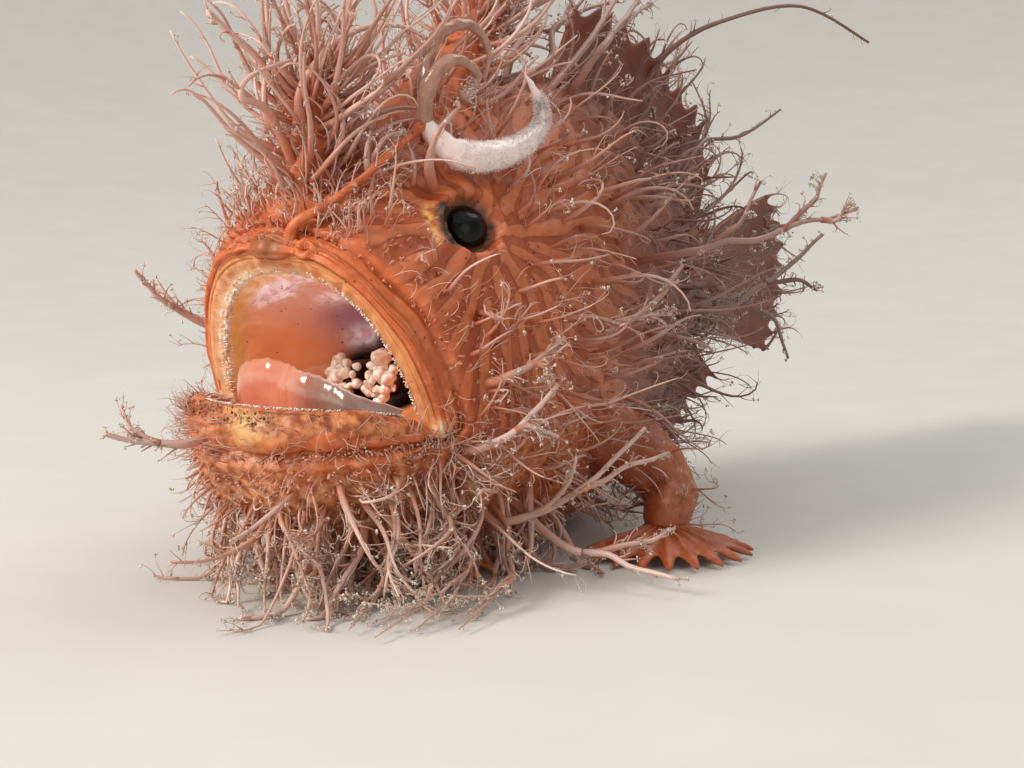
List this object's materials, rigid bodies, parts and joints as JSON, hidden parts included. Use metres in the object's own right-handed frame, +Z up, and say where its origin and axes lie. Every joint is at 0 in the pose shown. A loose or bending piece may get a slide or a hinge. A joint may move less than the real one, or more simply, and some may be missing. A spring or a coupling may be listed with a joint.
{
  "type": "hairy frogfish",
  "caption": "Still life-size hairy frogfish, mouth agape, lure laid back over the head, resting on its belly and hand-like fins.",
  "frame": {"origin": "middle of the flat under the belly", "axes": "+Z up, -Y the way the head faces, +X the fish's left side"},
  "size_m": [0.0729, 0.1409, 0.0788],
  "materials": {
    "skin_front": "soft matt skin, orange-brown with paler branching stripes",
    "skin_rear": "soft matt skin, darker red-brown towards the tail",
    "lips": "moist skin, cream-yellow on the jaws' bare band",
    "fins_median": "thin skin over soft rays",
    "fins_paired": "thin pale skin over stout rays",
    "lure_rod": "thin greyish skin",
    "lure_flesh": "pale pinkish-white, finely fuzzy",
    "mouth_lining": "wet orange-pink lining",
    "teeth": "wet ivory knobs",
    "cornea": "clear dark dome with a golden iris in it"
  },
  "bodies": {
    "root": {"cranium": "skin_front", "cheek_l": "skin_front", "cheek_r": "skin_front", "chin": "skin_front", "dorsal_spine_2": "skin_front", "dorsal_spine_3": "skin_front", "pectoral_arm_l": "skin_front", "pectoral_arm_r": "skin_front", "torso": "skin_rear", "tail": "skin_rear", "upper_jaw_l": "lips", "upper_jaw_r": "lips", "lower_jaw_l": "lips", "lower_jaw_r": "lips", "dorsal_fin": "fins_median", "anal_fin": "fins_median", "caudal_fin": "fins_median", "pectoral_fin_l": "fins_paired", "pectoral_fin_r": "fins_paired", "pelvic_fin_l": "fins_paired", "pelvic_fin_r": "fins_paired", "illicium": "lure_rod", "esca": "lure_flesh", "tongue": "mouth_lining", "throat_teeth_l": "teeth", "throat_teeth_r": "teeth", "eye_l": "cornea", "eye_r": "cornea"}
  },
  "joints": []
}
